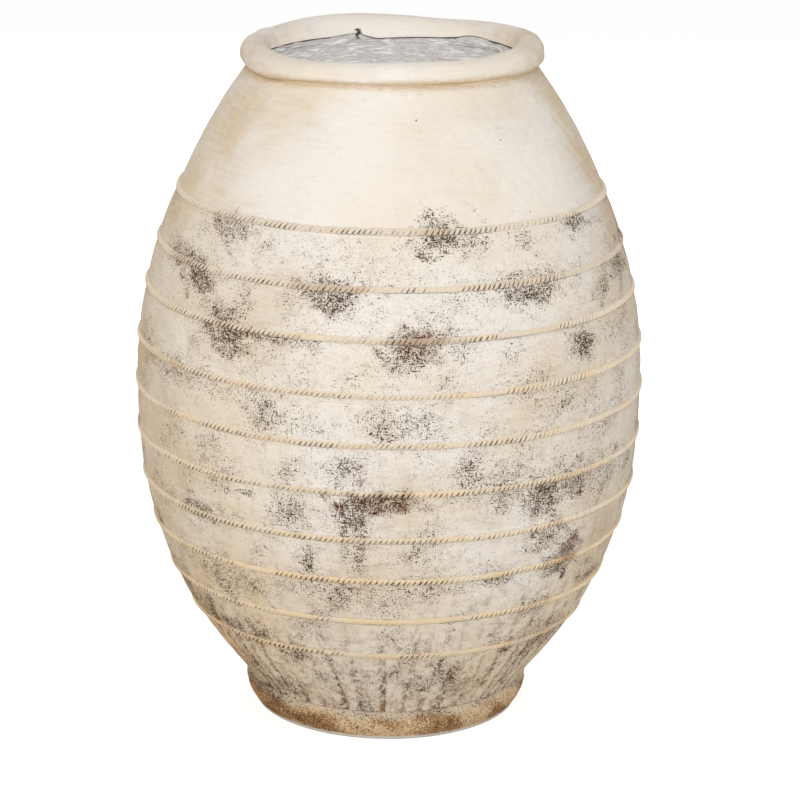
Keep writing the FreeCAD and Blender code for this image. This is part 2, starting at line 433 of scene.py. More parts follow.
# %% A class that writes shader nodes as expressions
class Shade:
    """One output of a shader node. Arithmetic on shades adds Math nodes."""

    def __init__(self, tree, socket=None):
        self.tree = tree
        self.socket = socket

    def node(self, kind, settings=None, inputs=None, output=0):
        """Adds a node: its settings first, then the values or links of its sockets."""
        node = self.tree.nodes.new(kind)
        for name, value in (settings or {}).items():
            setattr(node, name, value)
        for name, value in (inputs or {}).items():
            if isinstance(value, Shade):
                self.tree.links.new(value.socket, node.inputs[name])
            else:
                node.inputs[name].default_value = value
        return Shade(self.tree, node.outputs[output] if node.outputs else None)

    def maths(self, operation, first, second=0.0):
        return self.node("ShaderNodeMath", {"operation": operation}, {0: first, 1: second})

    def __add__(self, other):
        return self.maths("ADD", self, other)

    def __radd__(self, other):
        return self.maths("ADD", other, self)

    def __sub__(self, other):
        return self.maths("SUBTRACT", self, other)

    def __rsub__(self, other):
        return self.maths("SUBTRACT", other, self)

    def __mul__(self, other):
        return self.maths("MULTIPLY", self, other)

    def __rmul__(self, other):
        return self.maths("MULTIPLY", other, self)

    def __pow__(self, other):
        return self.maths("POWER", self, other)


def start_material(name):
    """A new material with no nodes yet, and a shade that can add them."""
    material = bpy.data.materials.new(name)
    material.use_nodes = True
    material.node_tree.nodes.clear()
    return material, Shade(material.node_tree)


def finish_material(start, colour, roughness, height, depth, specular):
    """Joins colour, roughness and a height in metres to one Principled shader."""
    bump = start.node("ShaderNodeBump", None, {"Strength": 1.0, "Distance": depth, "Height": height})
    shader = start.node("ShaderNodeBsdfPrincipled", None, {
        "Base Color": colour, "Roughness": roughness, "Normal": bump, "Specular IOR Level": specular,
    })
    start.node("ShaderNodeOutputMaterial", None, {"Surface": shader})


def step_between(value, low, high):
    """A smooth step from 0 at low to 1 at high."""
    return value.node("ShaderNodeMapRange", {"interpolation_type": "SMOOTHSTEP"}, {
        "Value": value, "From Min": low, "From Max": high,
    })


def blend_colours(share, first, second):
    """A colour between two: the first where share is 0, the second where it is 1."""
    return share.node("ShaderNodeMix", {"data_type": "RGBA"}, {0: share, 6: first, 7: second}, output=2)


def grain(place, scale, detail=2.0, roughness=0.5, output=0):
    """Noise at a place, about 0 to 1."""
    return place.node("ShaderNodeTexNoise", {"noise_dimensions": "3D"}, {
        "Vector": place, "Scale": scale, "Detail": detail, "Roughness": roughness,
    }, output)


def scaled(place, x, y, z):
    """A place with its axes stretched, which squeezes a pattern along them."""
    return place.node("ShaderNodeVectorMath", {"operation": "MULTIPLY"}, {0: place, 1: (x, y, z)})


def tone(red, green, blue):
    """A colour given as on a screen, 0 to 255, made linear."""
    linear = [((part / 255 + 0.055) / 1.055) ** 2.4 for part in (red, green, blue)]
    return (*linear, 1.0)


print("A tone of 200 is", round(tone(200, 200, 200)[0], 3), "in linear light")

# %% [markdown]
# ## Washed clay
#
# The wall has three layers: tan clay, a lime wash brushed round it, and dark stain left in marks like those
# of cloth. The wash is noise stretched along the brush strokes. The stain is a thin
# veil with flecks on it. A fleck is where fine noise, or noise stretched like threads, passes a limit, and
# the limit drops where a smudge is stored on the piece's points and a little more between the threads.

# %% Make the material of the wall
LIME_WHITE = tone(242, 237, 231)
WARM_CREAM = tone(239, 230, 216)
TAN_CLAY = tone(209, 184, 148)
YELLOW_CLAY = tone(214, 184, 132)
STREAK_GREY = tone(142, 118, 92)
STAIN_VEIL = tone(172, 155, 136)
STAIN_BROWN = tone(150, 108, 76)
FLECK_GREY = tone(72, 50, 26)
FLECK_BROWN = tone(84, 48, 18)
CREASE_TAN = tone(208, 181, 137)
# Painted shade: the dark in the gap under the lip, in the tear and in the pin holes
RECESS_SHADE_DARK = tone(72, 58, 52)
INSIDE_WHITE = tone(254, 253, 250)
INSIDE_GREY = tone(226, 221, 218)
INSIDE_LINE = tone(152, 146, 146)
WALL_GRAIN = 0.7 * MILLIMETRE
DULL = 0.25


def wall_material():
    """Tan clay under brushed lime wash, with stain in the marks of the cloth."""
    material, start = start_material("washed_clay")
    place = start.node("ShaderNodeTexCoord", output="Object")
    cloth = start.node("ShaderNodeUVMap", {"uv_map": "threads"})
    stain, brown, pale, woven, drag, crease, gap, inside = [
        start.node("ShaderNodeAttribute", {"attribute_name": name}, output="Fac")
        for name in ("stain", "brown", "pale", "woven", "drag", "crease", "gap", "inside")
    ]
    strokes = grain(scaled(place, 1, 1, 9), 26, 3, 0.55)
    fine_strokes = grain(scaled(place, 1, 1, 6), 120, 3, 0.6)
    mottle = grain(place, 13, 3, 0.55)
    patches = grain(scaled(place, 1, 1, 1.4), 70, 2, 0.6)
    streaks = grain(scaled(place, 1, 1, 0.12), 210, 3, 0.7)
    flecks = grain(scaled(place, 1, 1, 1.2), 590, 1, 0.6)
    level_threads = grain(scaled(place, 1, 1, 3.2), 190, 2, 0.6)
    upright_threads = grain(scaled(place, 1, 1, 0.3), 560, 2, 0.6)
    weave = start.maths("MAXIMUM", level_threads, upright_threads)
    lumps = grain(place, 60, 3, 0.6)

    wobble = start.node("ShaderNodeVectorMath", {"operation": "SCALE"}, {
        0: grain(place, 110, 2, output="Color"), "Scale": 1.9,
    })
    threads = start.node("ShaderNodeVectorMath", {"operation": "ADD"}, {0: cloth, 1: wobble})
    across = start.node("ShaderNodeSeparateXYZ", None, {"Vector": threads}, 0)
    up = start.node("ShaderNodeSeparateXYZ", None, {"Vector": threads}, 1)
    ridge_across = start.maths("PINGPONG", across, 0.5) * 2
    ridge_up = start.maths("PINGPONG", up, 0.5) * 2
    cloth_height = start.maths("MINIMUM", ridge_across, ridge_up)
    gaps = (0.5 - cloth_height) * woven

    wash = step_between(pale + (mottle - 0.5) * 0.9 + (strokes - 0.5) * 0.5, -0.1, 1.0)
    tint = step_between(grain(place, 7, 1), 0.35, 0.65)
    pale_tone = blend_colours(tint, LIME_WHITE, WARM_CREAM)
    clay_tone = blend_colours(step_between(grain(place, 9, 2), 0.42, 0.62), TAN_CLAY, YELLOW_CLAY)
    colour = blend_colours(wash, clay_tone, pale_tone)
    streak_share = step_between(streaks + drag * 0.05 + (patches - 0.5) * 0.3, 0.5, 0.62) * drag
    colour = blend_colours(streak_share * 0.65, colour, STREAK_GREY)
    gap_share = step_between(gaps + (patches - 0.5) * 1.2, 0.15, 0.8) * 0.14
    colour = blend_colours(gap_share, colour, STAIN_VEIL)
    thread_share = step_between(weave + (patches - 0.5) * 0.3, 0.56, 0.72) * 0.34 * woven
    colour = blend_colours(thread_share, colour, STAIN_VEIL)
    stroke_share = step_between(fine_strokes, 0.5, 0.76) * (0.09 + woven * 0.12)
    colour = blend_colours(stroke_share, colour, STAIN_VEIL)

    veil_share = step_between(stain + (patches - 0.5) * 0.9, 0.2, 1.1) * 0.3
    colour = blend_colours(veil_share, colour, STAIN_VEIL)
    brown_share = step_between(brown + (patches - 0.5) * 0.9, 0.15, 0.95) * step_between(brown, 0.02, 0.3)
    colour = blend_colours(brown_share * 0.5, colour, STAIN_BROWN)
    clumps = (patches - 0.5) * 0.07 + (streaks - 0.5) * drag * 0.34
    limit = 0.755 - stain * 0.27 - gaps * 0.06 - clumps
    marks = start.maths("MAXIMUM", flecks, weave - 0.03)
    chosen = step_between(marks - limit, -0.02, 0.04)
    fleck_tone = blend_colours(step_between(brown, 0.1, 0.6), FLECK_GREY, FLECK_BROWN)
    colour = blend_colours(chosen * step_between(stain, -0.9, 0.5) * 0.95, colour, fleck_tone)

    crease_share = step_between(crease * 0.8 + (fine_strokes - 0.5) * 0.9 + (mottle - 0.5) * 0.5, 0.2, 1.0)
    colour = blend_colours(crease_share * 0.75, colour, CREASE_TAN)
    crease_line = step_between(crease - 0.8 + (strokes - 0.5) * 1.2, 0.1, 0.4)
    crease_line = crease_line * step_between(mottle, 0.42, 0.62)
    colour = blend_colours(crease_line * 0.4, colour, STAIN_BROWN)
    # Inside, the same noise whitens the lime and raises its relief: its own tone, with highlight on the
    # raised grain and shade in the hollows partly painted in
    raw = step_between(grain(scaled(place, 1, 1, 7), 50, 4, 0.7), 0.38, 0.62)
    inside_colour = blend_colours(raw, INSIDE_GREY, INSIDE_WHITE)
    line_share = step_between(fine_strokes, 0.55, 0.7) * 0.35
    inside_colour = blend_colours(line_share, inside_colour, INSIDE_LINE)
    colour = blend_colours(inside, colour, inside_colour)
    # Painted shade: the gap under the lip and the tear, stored on the rim, and small pin holes are darkened
    # as their shade
    hole_inputs = {"Vector": place, "Scale": 34.0, "Randomness": 1.0}
    from_hole = start.node("ShaderNodeTexVoronoi", None, hole_inputs, "Distance")
    pin_hole = step_between(0.035 - from_hole, -0.006, 0.006) * (1 - woven)
    colour = blend_colours(start.maths("MAXIMUM", gap, pin_hole * 0.7), colour, RECESS_SHADE_DARK)

    height = cloth_height * woven * 0.25 + fine_strokes * 0.4 + strokes * 0.5 + mottle * 0.4
    height = height - weave * woven * 0.9 - streaks * drag * 0.9 + lumps * (1 - woven) * 1.1
    height = height + grain(place, 300, 2, 0.6) * 0.35 - chosen * 0.3 - pin_hole * 1.2 + raw * inside * 2.2
    roughness = 0.86 + strokes * 0.1
    finish_material(start, colour, roughness, height, WALL_GRAIN, DULL)
    return material


washed_clay = wall_material()
print(len(washed_clay.node_tree.nodes), "nodes in", washed_clay.name)

# %% [markdown]
# ## The courses of the wall
#
# Each course is one ring with a bevelled joint at each end. Its outline goes up the outside in rows about
# two millimetres apart, over the joint, down the inside in wider rows, and back. Extra rows lie at the
# edges of the flat strip behind each cordon, where the surface takes a small step.

# %% Build rows of heights and the outline of a course
ROW = 2.2 * MILLIMETRE
INNER_ROW = 4.5 * MILLIMETRE
COLUMNS = 720
STRIP_BELOW, STRIP_ABOVE = 3.4 * MILLIMETRE, 2.6 * MILLIMETRE
STRIP_PROUD = 0.55 * MILLIMETRE
STRIP_EDGE = 0.5 * MILLIMETRE


def rows_between(low, high, row):
    """Heights from low to high, about a row apart, with extra ones at the edges of the strips."""
    heights = list(np.linspace(low, high, max(2, round((high - low) / row) + 1)))
    for foot in cordon_feet:
        for edge in (foot - STRIP_BELOW, foot + cordon_height + STRIP_ABOVE):
            heights += [edge - STRIP_EDGE, edge, edge + STRIP_EDGE]
    return sorted(height for height in set(heights) if low <= height <= high)


def course_outline(low, high):
    """Closed outline of a ring of wall from one joint up to the next."""
    inner_low = low if low == slab_top else low + joint_bevel
    inner_high = high if high == neck else high + joint_bevel
    outside = [(float(outer_wall(height)), height) for height in rows_between(low, high, ROW)]
    inner_rows = np.linspace(inner_high, inner_low, round((inner_high - inner_low) / INNER_ROW) + 1)
    return outside + [(float(inner_wall(height)), height) for height in inner_rows]


print("The first course's outline has", len(course_outline(levels[0], levels[2])), "points")

# %% Move a wall's points as hands and tools did
FINGER_RIDGES = 0.5 * MILLIMETRE
DRAG_GROOVES = 1.3 * MILLIMETRE
INSIDE_LUMPS = 0.6 * MILLIMETRE
FOOT_FLARE = 2.2 * MILLIMETRE
FLARE_RISE = 11 * MILLIMETRE
SKIN = 0.14 * MILLIMETRE
JOINT_SHARE = 0.02
DEEPEST_DRAG = 2
# How strongly the wall was dragged, at each level from the slab up to the neck
DRAG_LEVELS = (1.0, 0.6, 0.25, 0.16, 0.14, 0.1, 0.06, 0.0, 0.0, 0.0, 0.0, 0.0)


def strip_relief(azimuth, height):
    """The small step up to the flat strip behind each cordon. It fades in and out round the jar."""
    relief = np.zeros_like(height)
    for number, foot in enumerate(cordon_feet):
        low, high = foot - STRIP_BELOW, foot + cordon_height + STRIP_ABOVE
        on_strip = between(height, low - STRIP_EDGE, low + STRIP_EDGE)
        on_strip *= 1 - between(height, high - STRIP_EDGE, high + STRIP_EDGE)
        shows = between(waves(azimuth, 0, seed=40 + number, turns=(2, 11), rises=(0, 1)), -0.9, 0.6)
        relief += STRIP_PROUD * on_strip * shows
    return relief


def outside_share(radius, height):
    """1 on the outside of the wall, 0 on the inside, in between on a joint."""
    inner, outer = inner_wall(height), outer_wall(height)
    return np.clip((radius - inner) / (outer - inner), 0, 1)


def drag_marks(azimuth, height):
    """Grooves that fingers and cloth dragged towards the foot: 0 on the ridges, about 1 in a groove."""
    return np.clip(waves(azimuth, height, seed=5, turns=(28, 96), rises=(0, 4), count=16), 0, DEEPEST_DRAG)


def shape_wall(azimuth, radius, height):
    """Moves the points of a course: hands, strips and drag marks outside, finger ridges inside."""
    outside = outside_share(radius, height)
    drag_here = np.interp(height, levels, DRAG_LEVELS)
    drag = drag_marks(azimuth, height)
    skin = waves(azimuth, height, seed=6, turns=(20, 80), rises=(10, 60), count=20)
    flare = FOOT_FLARE * np.clip(1 - (height - slab_top) / FLARE_RISE, 0, 1) ** 2
    outer_move = strip_relief(azimuth, height) + flare + SKIN * skin
    outer_move -= DRAG_GROOVES * drag_here * drag
    ridges = waves(azimuth, height, seed=7, turns=(0, 4), rises=(50, 75), count=8)
    lumps = waves(azimuth, height, seed=8, turns=(5, 40), rises=(5, 40), count=16)
    inner_move = FINGER_RIDGES * ridges + INSIDE_LUMPS * lumps
    on_joint = np.minimum(outside, 1 - outside) > JOINT_SHARE
    moves = np.where(on_joint, 0, outside * outer_move + (1 - outside) * inner_move)
    return azimuth, radius + hand_push(azimuth, height) + moves, height


print("The grooves above the foot are at most", round(DEEPEST_DRAG * DRAG_GROOVES / MILLIMETRE, 1), "mm deep")

# %% Store cloth threads and masks on a wall piece
THREAD_PITCH = 2.7 * MILLIMETRE
# Shares at each level from the slab up to the neck: lime wash, tan painted towards the sides as side shade,
# brown in the stain
PALE_LEVELS = (0.52, 0.56, 0.60, 0.54, 0.64, 0.64, 0.67, 0.66, 0.70, 0.78, 0.87, 0.76)
SIDE_SHADE_TAN_LEVELS = (0.12, 0.1, 0.07, 0.11, 0.12, 0.07, 0.12, 0.15, 0.15, 0.17, 0.20, 0.20)
BROWN_LEVELS = (0.34, 0.32, 0.26, 0.2, 0.14, 0.08, 0.05, 0.03, 0.02, 0.0, 0.0, 0.0)
# The azimuth at the front, and opposite it at the back, where the painted side shade is least
SIDE_SHADE_AXIS = math.radians(-80)
FRONT = math.radians(-90)
BARE_LEFT, BARE_REACH = math.radians(-150), math.radians(26)
BARE_SHARE = 0.26
PALE_LIFT, CLOUD_SHARE = 0.14, 0.07
# The cloth's marks fade in between two heights above the ground, and out just under the top cordon
CLOTH_FROM, CLOTH_FULL = 0.05, 0.25
CLOTH_FADE = 4 * MILLIMETRE
# Millimetres above the slab to which the foot's stain climbs: mean, more behind, ragged, softness
FOOT_STAIN_MEAN, FOOT_STAIN_BEHIND, FOOT_STAIN_RAGGED, FOOT_STAIN_SOFT = 4, 7, 4, 8
BAND_STRENGTHS = (0.8, 0.8, 0.7, 0.6, 0.45, 0.3)
BAND_REACH = 6 * MILLIMETRE
GROOVE_MEAN, GROOVE_TAN, GROOVE_STAIN = 0.45, 0.18, 0.04
CREASE_LEVEL = neck + 2.5 * MILLIMETRE
CREASE_REACH = 7.5 * MILLIMETRE


def bare_patch(azimuth):
    """How near a place is to the bare side at the left: 1 in its middle. It closes round the jar."""
    turn = (azimuth - BARE_LEFT + math.pi) % (2 * math.pi) - math.pi
    return np.exp(-((turn / BARE_REACH) ** 2))


def thread_map(piece, azimuth, height):
    """A UV map in threads: whole numbers round the jar in every zone, so the cloth has no seam."""
    layer = piece.data.uv_layers.new(name="threads")
    corners = np.empty(len(piece.data.loops), dtype=np.int32)
    piece.data.loops.foreach_get("vertex_index", corners)
    corners = corners.reshape(-1, 4)
    face_height = height[corners].mean(axis=1)
    zone_middle = np.array([(low + high) / 2 for low, high in zip(levels, levels[1:])])
    zone = np.clip(np.searchsorted(levels, face_height) - 1, 0, len(zone_middle) - 1)
    threads = np.round(2 * math.pi * outer_wall(zone_middle) / THREAD_PITCH)[zone]
    turn = (azimuth / (2 * math.pi) % 1)[corners]
    turn = np.where(turn.max(axis=1, keepdims=True) - turn > 0.5, turn + 1, turn)
    across = turn * threads[:, None]
    up = height[corners] / THREAD_PITCH
    layer.data.foreach_set("uv", np.stack((across, up), axis=-1).ravel().astype(np.float32))


def paint_wall(piece, azimuth, radius, height):
    """Stores the stain, the wash with its painted side shade, the cloth and the inside on a piece of wall."""
    outside = between(outside_share(radius, height), 0.4, 0.6)
    dark, brown = stain_at(azimuth, height)
    clouds = waves(azimuth, height, seed=19, turns=(1, 6), rises=(0, 4), count=10)
    # Painted side shade: less wash, so tanner and darker, towards the jar's sides than at its front and back
    painted_side_shade = np.interp(height, levels, SIDE_SHADE_TAN_LEVELS) * (1 - np.cos(2 * (azimuth - SIDE_SHADE_AXIS)))
    bare_left = bare_patch(azimuth) * (1 - between(height, levels[1], levels[3]))
    pale = np.interp(height, levels, PALE_LEVELS) + PALE_LIFT - painted_side_shade
    pale = pale + CLOUD_SHARE * clouds - BARE_SHARE * bare_left
    woven = 1 - between(height, cordon_feet[-1] - CLOTH_FADE, cordon_feet[-1])
    woven = woven * between(height, CLOTH_FROM, CLOTH_FULL)
    drag = np.interp(height, levels, DRAG_LEVELS) * (0.45 + 0.7 * drag_marks(azimuth, height))
    crease = np.exp(-(((height - CREASE_LEVEL) / CREASE_REACH) ** 2))
    for foot, strength in zip(cordon_feet, BAND_STRENGTHS):
        band = (height - foot - 0.45 * cordon_height) / BAND_REACH
        crease = np.maximum(crease, strength * np.exp(-(band ** 4)))
    foot_line = FOOT_STAIN_MEAN - FOOT_STAIN_BEHIND * np.cos(azimuth - FRONT)
    foot_line = foot_line + FOOT_STAIN_RAGGED * waves(azimuth, 0, 21, (3, 40), (0, 1), 14)
    above_line = (height - slab_top) / MILLIMETRE - foot_line
    footing = 1 - between(above_line, -FOOT_STAIN_SOFT, FOOT_STAIN_SOFT)
    brown = np.maximum(brown, np.maximum(np.interp(height, levels, BROWN_LEVELS), footing * 0.6))
    grooved = np.interp(height, levels, DRAG_LEVELS) * (drag_marks(azimuth, height) - GROOVE_MEAN)
    pale = pale - GROOVE_TAN * grooved
    dark = np.clip(dark + GROOVE_STAIN * grooved, 0, 1)
    values = {
        "stain": np.maximum(dark, footing * 0.8), "brown": brown, "pale": pale,
        "woven": woven, "drag": drag, "crease": crease,
    }
    for name, value in values.items():
        keep_values(piece, name, value * outside)
    keep_values(piece, "gap", 0 * height)
    keep_values(piece, "inside", 1 - outside)
    thread_map(piece, azimuth, height)


belly_round = 2 * math.pi * float(outer_wall(levels[6]))
print("The cloth has about", round(belly_round / THREAD_PITCH), "threads round the belly")

# %% Build the five courses and the shoulder
def wall_piece(node, low, high):
    """One ring of wall, shaped and painted."""
    mesh = turned_mesh(course_outline(low, high), COLUMNS)
    piece, azimuth, radius, height = piece_from(mesh, f"{node}_clay", shape_wall)
    paint_wall(piece, azimuth, radius, height)
    hand_in(piece, node, washed_clay)


for number, node in enumerate(COURSES):
    wall_piece(node, levels[2 * number], levels[2 * number + 2])
wall_piece("shoulder_course", levels[-2], levels[-1])

# %% [markdown]
# ## The rope cordons
#
# A cordon is a strip of clay pressed with a twisted cord or a stick, which leaves slanted lobes with a
# notch between each two. The outline is half an ellipse, and the notches are cut by moving its points: the
# phase of the notch climbs round the jar and leans with the height on the strip. Places where the wash or
# a thumb filled the notches are gaps in the pattern.

# %% Make the material of the cordons
ROPE_CREAM = tone(229, 217, 200)
ROPE_YELLOW = tone(238, 210, 160)
ROPE_BROWN = tone(176, 134, 96)
# Painted shade in the notches, mixed with dirt; the darker tone also makes the painted shadow under the strip
# and the specks of dirt
NOTCH_SHADE_TAN = tone(116, 96, 74)
SHADE_AND_SPECK_DARK = tone(60, 44, 32)
ROPE_GRAIN = 0.5 * MILLIMETRE


def rope_material():
    """Cream clay that is yellower low down, with dirt and painted shade in the notches, a painted shadow
    under the strip and specks of dirt.
    """
    material, start = start_material("rope_clay")
    place = start.node("ShaderNodeTexCoord", output="Object")
    notch_shade_share, dirt, stain, brown, pale, edge = [
        start.node("ShaderNodeAttribute", {"attribute_name": name}, output="Fac")
        for name in ("notch_shade_share", "dirt", "stain", "brown", "pale", "edge")
    ]
    mottle = grain(place, 30, 3, 0.6)
    speck = grain(place, 460, 3, 0.65)
    cream_share = step_between(pale + (mottle - 0.5) * 1.0, 0.1, 0.9)
    colour = blend_colours(cream_share, ROPE_YELLOW, ROPE_CREAM)
    colour = blend_colours(step_between(stain, 0.3, 1.0) * 0.35, colour, ROPE_BROWN)
    colour = blend_colours(step_between(brown, 0.1, 0.8) * 0.6, colour, STAIN_BROWN)
    # Painted shade in the notches by their depth, darker where dirt or stain lies in them
    notch_dirt_and_shade = step_between(notch_shade_share * (0.65 + dirt * 0.6 + stain * 0.7) + (speck - 0.5) * 0.5, 0.3, 0.85)
    notch_shade_tone = blend_colours(step_between(dirt * 0.8 + stain, 0.2, 0.9), NOTCH_SHADE_TAN, SHADE_AND_SPECK_DARK)
    # Painted shadow along the strip's lower edge, stronger where dirt or stain lies
    under_strip_shadow = step_between(edge * (0.25 + dirt * 0.5 + stain * 0.6) + (speck - 0.5) * 0.9, 0.35, 0.85)
    on_top = step_between(speck + stain * 0.24, 0.76, 0.84)
    colour = blend_colours(notch_dirt_and_shade * 0.9, colour, notch_shade_tone)
    # Specks of dirt on top, and the painted shadow along the lower edge
    colour = blend_colours(start.maths("MAXIMUM", on_top * 0.85, under_strip_shadow * 0.7), colour, SHADE_AND_SPECK_DARK)
    height = mottle * 0.4 + grain(place, 300, 2) * 0.5
    finish_material(start, colour, 0.86 + mottle * 0.1, height, ROPE_GRAIN, DULL)
    return material


rope_clay = rope_material()
print(len(rope_clay.node_tree.nodes), "nodes in", rope_clay.name)

# %% Build the ten cordons
LOBE_PITCH = 6.0 * MILLIMETRE
COLUMNS_PER_LOBE = 8
SECTION_POINTS = 11
BURIED = 1.6 * MILLIMETRE
LEAN_OF_NOTCH = 0.85
NOTCH_DEPTH_SHARE = 0.85
FILLED_DROP_SHARE = 0.25
FILLED_DEPTH = 0.7
WANDER = 0.6 * MILLIMETRE
LOWER_CORDONS = 5
# How much the notches' painted shade fades on the strip's upper part: lower cordons, then upper ones
NOTCH_FADE_LOWER, NOTCH_FADE_UPPER = 0.8, 0.45
# Where a cordon of the photograph is smooth: its number from below, and the pixels at the place's two ends
SMOOTH_PLACES = {
    "ninth_by_the_front": (9, 425, 460), "ninth_right": (9, 560, 640), "eighth_left": (8, 300, 330),
    "eighth_right": (8, 500, 560), "seventh_right": (7, 470, 510), "sixth_front": (6, 446, 464),
    "third_left": (3, 240, 275), "third_right": (3, 460, 500), "second_front": (2, 330, 470),
    "first_middle": (1, 345, 400), "first_right": (1, 440, 500),
}
CORDON_SCREEN_HEIGHTS = (657, 624, 584, 543, 497, 449, 400, 343, 292, 233)
SMOOTH_EDGE = 0.02
# How large a wave has to be to fill the notches of each cordon, from the lowest up
SMOOTH_LIMITS = (1.3, 1.2, 1.2, 1.3, 1.4, 1.5, 1.6, 1.6, 1.6, 1.8)


def smooth_share(number, azimuth):
    """1 where a cordon's notches are filled, 0 where they are crisp. The lower cordons are more worn."""
    limit = SMOOTH_LIMITS[number - 1]
    thumbed = waves(azimuth, 0, seed=60 + number, turns=(3, 16), rises=(0, 1))
    filled = between(thumbed, limit, limit + 0.8) * 0.9
    for cordon, left, right in SMOOTH_PLACES.values():
        if cordon == number:
            row = CORDON_SCREEN_HEIGHTS[number - 1]
            start, end = wall_place(left, row)[0], wall_place(right, row)[0]
            inside = between(azimuth, start - SMOOTH_EDGE, start + SMOOTH_EDGE)
            inside = inside * (1 - between(azimuth, end - SMOOTH_EDGE, end + SMOOTH_EDGE))
            filled = np.maximum(filled, inside * FILLED_DEPTH)
    return filled


def build_cordon(number):
    """One strip of clay pressed into a rope pattern."""
    node = CORDONS[number - 1]
    foot, crest = cordon_feet[number - 1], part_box(node)[1].x
    middle = foot + cordon_height / 2
    proud = crest - float(corner_curve(middle))
    lobes = round(2 * math.pi * crest / LOBE_PITCH)
    shares = np.linspace(0, 1, SECTION_POINTS)
    wall = [float(corner_curve(foot + share * cordon_height)) for share in shares]
    outline = [
        (base + proud * math.sqrt(max(0, 1 - (2 * share - 1) ** 2)), foot + share * cordon_height)
        for base, share in zip(wall, shares)
    ]
    outline += [(wall[-1] - BURIED, foot + cordon_height), (wall[0] - BURIED, foot)]
    mesh = turned_mesh(outline, lobes * COLUMNS_PER_LOBE)
    stored = {}

    def press(azimuth, radius, height):
        base = corner_curve(height)
        share = (height - foot) / cordon_height
        on_rope = radius > base - 0.1 * MILLIMETRE
        jitter = waves(azimuth, 0, seed=80 + number, turns=(20, 90), rises=(0, 1)) * 0.06
        notch = 1 - np.abs(np.cos(lobes * azimuth / 2)) ** 1.2
        lean = 2 * math.pi / lobes * (LEAN_OF_NOTCH * (share - 0.5) * on_rope + jitter)
        filled = smooth_share(number, azimuth)
        uneven = waves(azimuth, 0, seed=100 + number, turns=(30, 120), rises=(0, 1)) * 0.18
        depth = np.clip(uneven + 0.92, 0.4, 1.15) * (1 - filled)
        cut = np.clip(notch * NOTCH_DEPTH_SHARE * depth, 0, 1)
        lift = np.maximum(radius - base, 0) * (1 - cut) * (1 - FILLED_DROP_SHARE * filled)
        # The notches get painted shade by their depth, faded on the strip's upper part
        notch_fade_above = (NOTCH_FADE_LOWER if number <= LOWER_CORDONS else NOTCH_FADE_UPPER) * between(share, 0.4, 0.8)
        stored["notch_shade_share"] = notch ** 1.8 * depth * between(share, 0.0, 0.2) * (1 - notch_fade_above) * on_rope
        # The strip's lower edge gets a painted shadow
        stored["edge"] = (1 - between(share, 0.05, 0.3)) * on_rope
        wander = WANDER * waves(azimuth, 0, seed=120 + number, turns=(2, 9), rises=(0, 1)) / 1.5
        reach = np.where(on_rope, base + lift, radius) + hand_push(azimuth, height)
        return azimuth + lean, reach, height + wander

    piece, azimuth, radius, height = piece_from(mesh, f"{node}_clay", press)
    dark, brown = stain_at(azimuth, height)
    dirt = between(waves(azimuth, 0, seed=140 + number, turns=(3, 20), rises=(0, 1)), -0.9, 1.2)
    dirt = np.minimum(dirt + 0.35 * (number <= LOWER_CORDONS), 1)
    pale = np.interp(height, levels, PALE_LEVELS)
    values = {"stain": dark, "brown": brown, "pale": pale, "dirt": dirt, **stored}
    for name, value in values.items():
        keep_values(piece, name, value)
    hand_in(piece, node, rope_clay)


for number in range(1, len(CORDONS) + 1):
    build_cordon(number)

# %% [markdown]
# ## The rim
#
# The rim is a roll of clay laid on the neck. It was patted round by hand, so its top rises and falls by
# several millimetres. Outside it was smeared down on to the shoulder, which leaves a soft crease, and inside
# it hangs over the wall in an uneven lip with a gap under it, painted dark as its shade. In one place at the
# back the clay under the lip is torn, and the tear is painted dark as its shade too. The heights of its top,
# of the crease in front and of the lip at the back were read off the photograph, the others are guessed, and
# smooth curves join them.

# %% List the rises of the rim in millimetres at azimuths in degrees
RIM_WAVE = {
    178: -1, 164: -2, 148: -3, 137: -1, 117: 1.5, 104: 1, 70: -3.5, 43: -0.5, 17: 1.5,
    -27: 2, -50: -2, -79: -0.5, -105: -3, -131: -6, -149: -4.5,
}
LIP_RISE = {
    173: 2, 158: 0.5, 135: 0, 121: 0, 113: 2, 107: 3.5, 101: -2, 97: -4, 90: -3, 75: -1, 67: 0,
    59: 2, 52: 6, 46: 6.5, 37: 4.5, 14: 4.5, -30: 2, -90: 1, -150: 1.5,
}
CREASE_RISE = {-148: -7.5, -132: -4, -115: -1, -90: 0, -52: 0.5, -37: -1.5, 0: -3, 60: 0, 130: -2, 175: -4}


def round_the_jar(places, azimuth, spread=4):
    """A smooth closed curve through values in millimetres that are given at azimuths in degrees."""
    turns = sorted(places)
    values = [places[turn] for turn in turns]
    degrees = np.degrees(azimuth)
    offsets = np.linspace(-spread, spread, 7)
    smoothed = [np.interp(degrees + offset, turns, values, period=360) for offset in offsets]
    return np.mean(smoothed, axis=0) * MILLIMETRE


print("The rim's top falls by", max(RIM_WAVE.values()) - min(RIM_WAVE.values()), "mm from its highest place")

# %% Tear the clay under the lip
LIP_LEVEL = neck + 5 * MILLIMETRE
TEAR_AZIMUTH, TEAR_HALF_TURN = math.radians(106.5), math.radians(0.95)
TEAR_WANDER, TEAR_BEND = math.radians(0.55), 1.1 * MILLIMETRE
TEAR_RISE, TEAR_DROP = 5.5 * MILLIMETRE, 8 * MILLIMETRE


